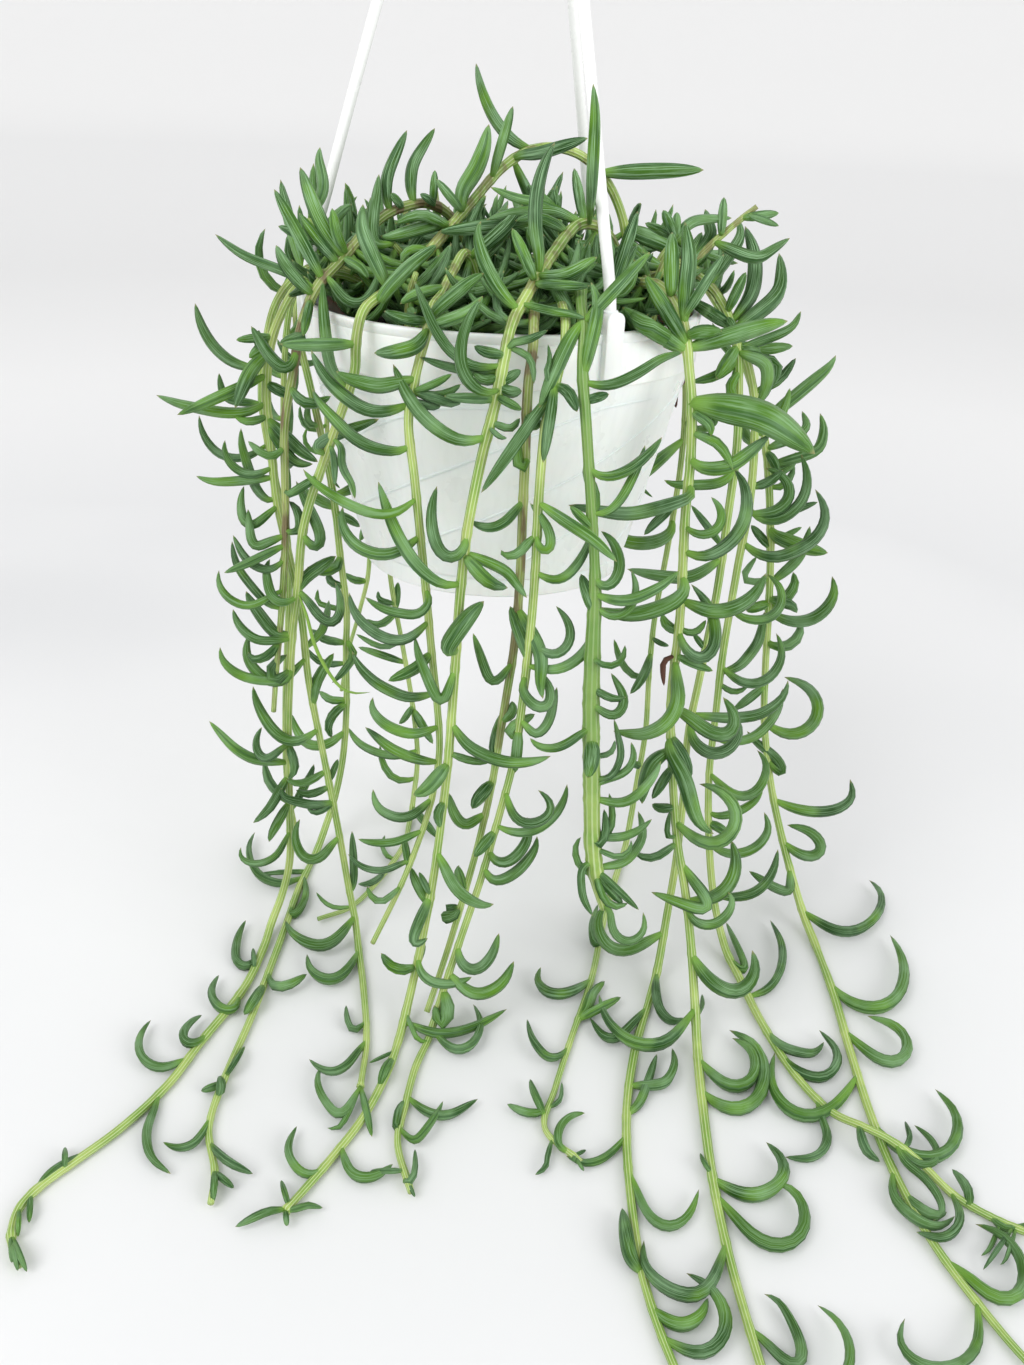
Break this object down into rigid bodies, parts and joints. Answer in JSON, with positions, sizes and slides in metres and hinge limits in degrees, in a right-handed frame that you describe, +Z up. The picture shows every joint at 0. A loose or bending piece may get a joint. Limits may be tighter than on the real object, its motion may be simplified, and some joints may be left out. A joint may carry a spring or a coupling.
{
  "type": "potted string of fishhooks",
  "caption": "Trailing succulent with hook-shaped leaves in a plain white tapered hanging pot, held by a three-armed plastic hanger.",
  "frame": {"origin": "bearing point inside the hook, from which the pot hangs, on the pot's axis", "axes": "+Z up along the pot's axis; -Y towards the viewer of the picture; +X to that viewer's right"},
  "size_m": [0.3632, 0.3805, 0.5229],
  "materials": {
    "pot_plastic": "white moulded plastic, slightly translucent",
    "hanger_plastic": "white moulded plastic",
    "soil_peat": "damp dark peat",
    "leaf": "blue-green leaf with a waxy bloom"
  },
  "bodies": {
    "root": {"pot": "pot_plastic", "soil": "soil_peat", "hanger_arm_front": "hanger_plastic", "hanger_arm_left": "hanger_plastic", "hanger_arm_back": "hanger_plastic", "hanger_hook": "hanger_plastic", "trail_01": "leaf", "trail_02": "leaf", "trail_03": "leaf", "trail_04": "leaf", "trail_05": "leaf", "trail_06": "leaf", "trail_07": "leaf", "trail_08": "leaf", "trail_09": "leaf", "trail_10": "leaf", "trail_11": "leaf", "trail_12": "leaf", "trail_13": "leaf", "trail_14": "leaf", "trail_15": "leaf", "trail_16": "leaf", "trail_17": "leaf", "trail_18": "leaf", "trail_19": "leaf", "trail_20": "leaf", "trail_21": "leaf", "trail_22": "leaf", "trail_23": "leaf", "shoot_01": "leaf", "shoot_02": "leaf", "shoot_03": "leaf", "shoot_04": "leaf", "shoot_05": "leaf", "shoot_06": "leaf", "shoot_07": "leaf", "shoot_08": "leaf", "shoot_09": "leaf", "shoot_10": "leaf", "shoot_11": "leaf", "shoot_12": "leaf", "shoot_13": "leaf", "shoot_14": "leaf", "shoot_15": "leaf"}
  },
  "joints": []
}
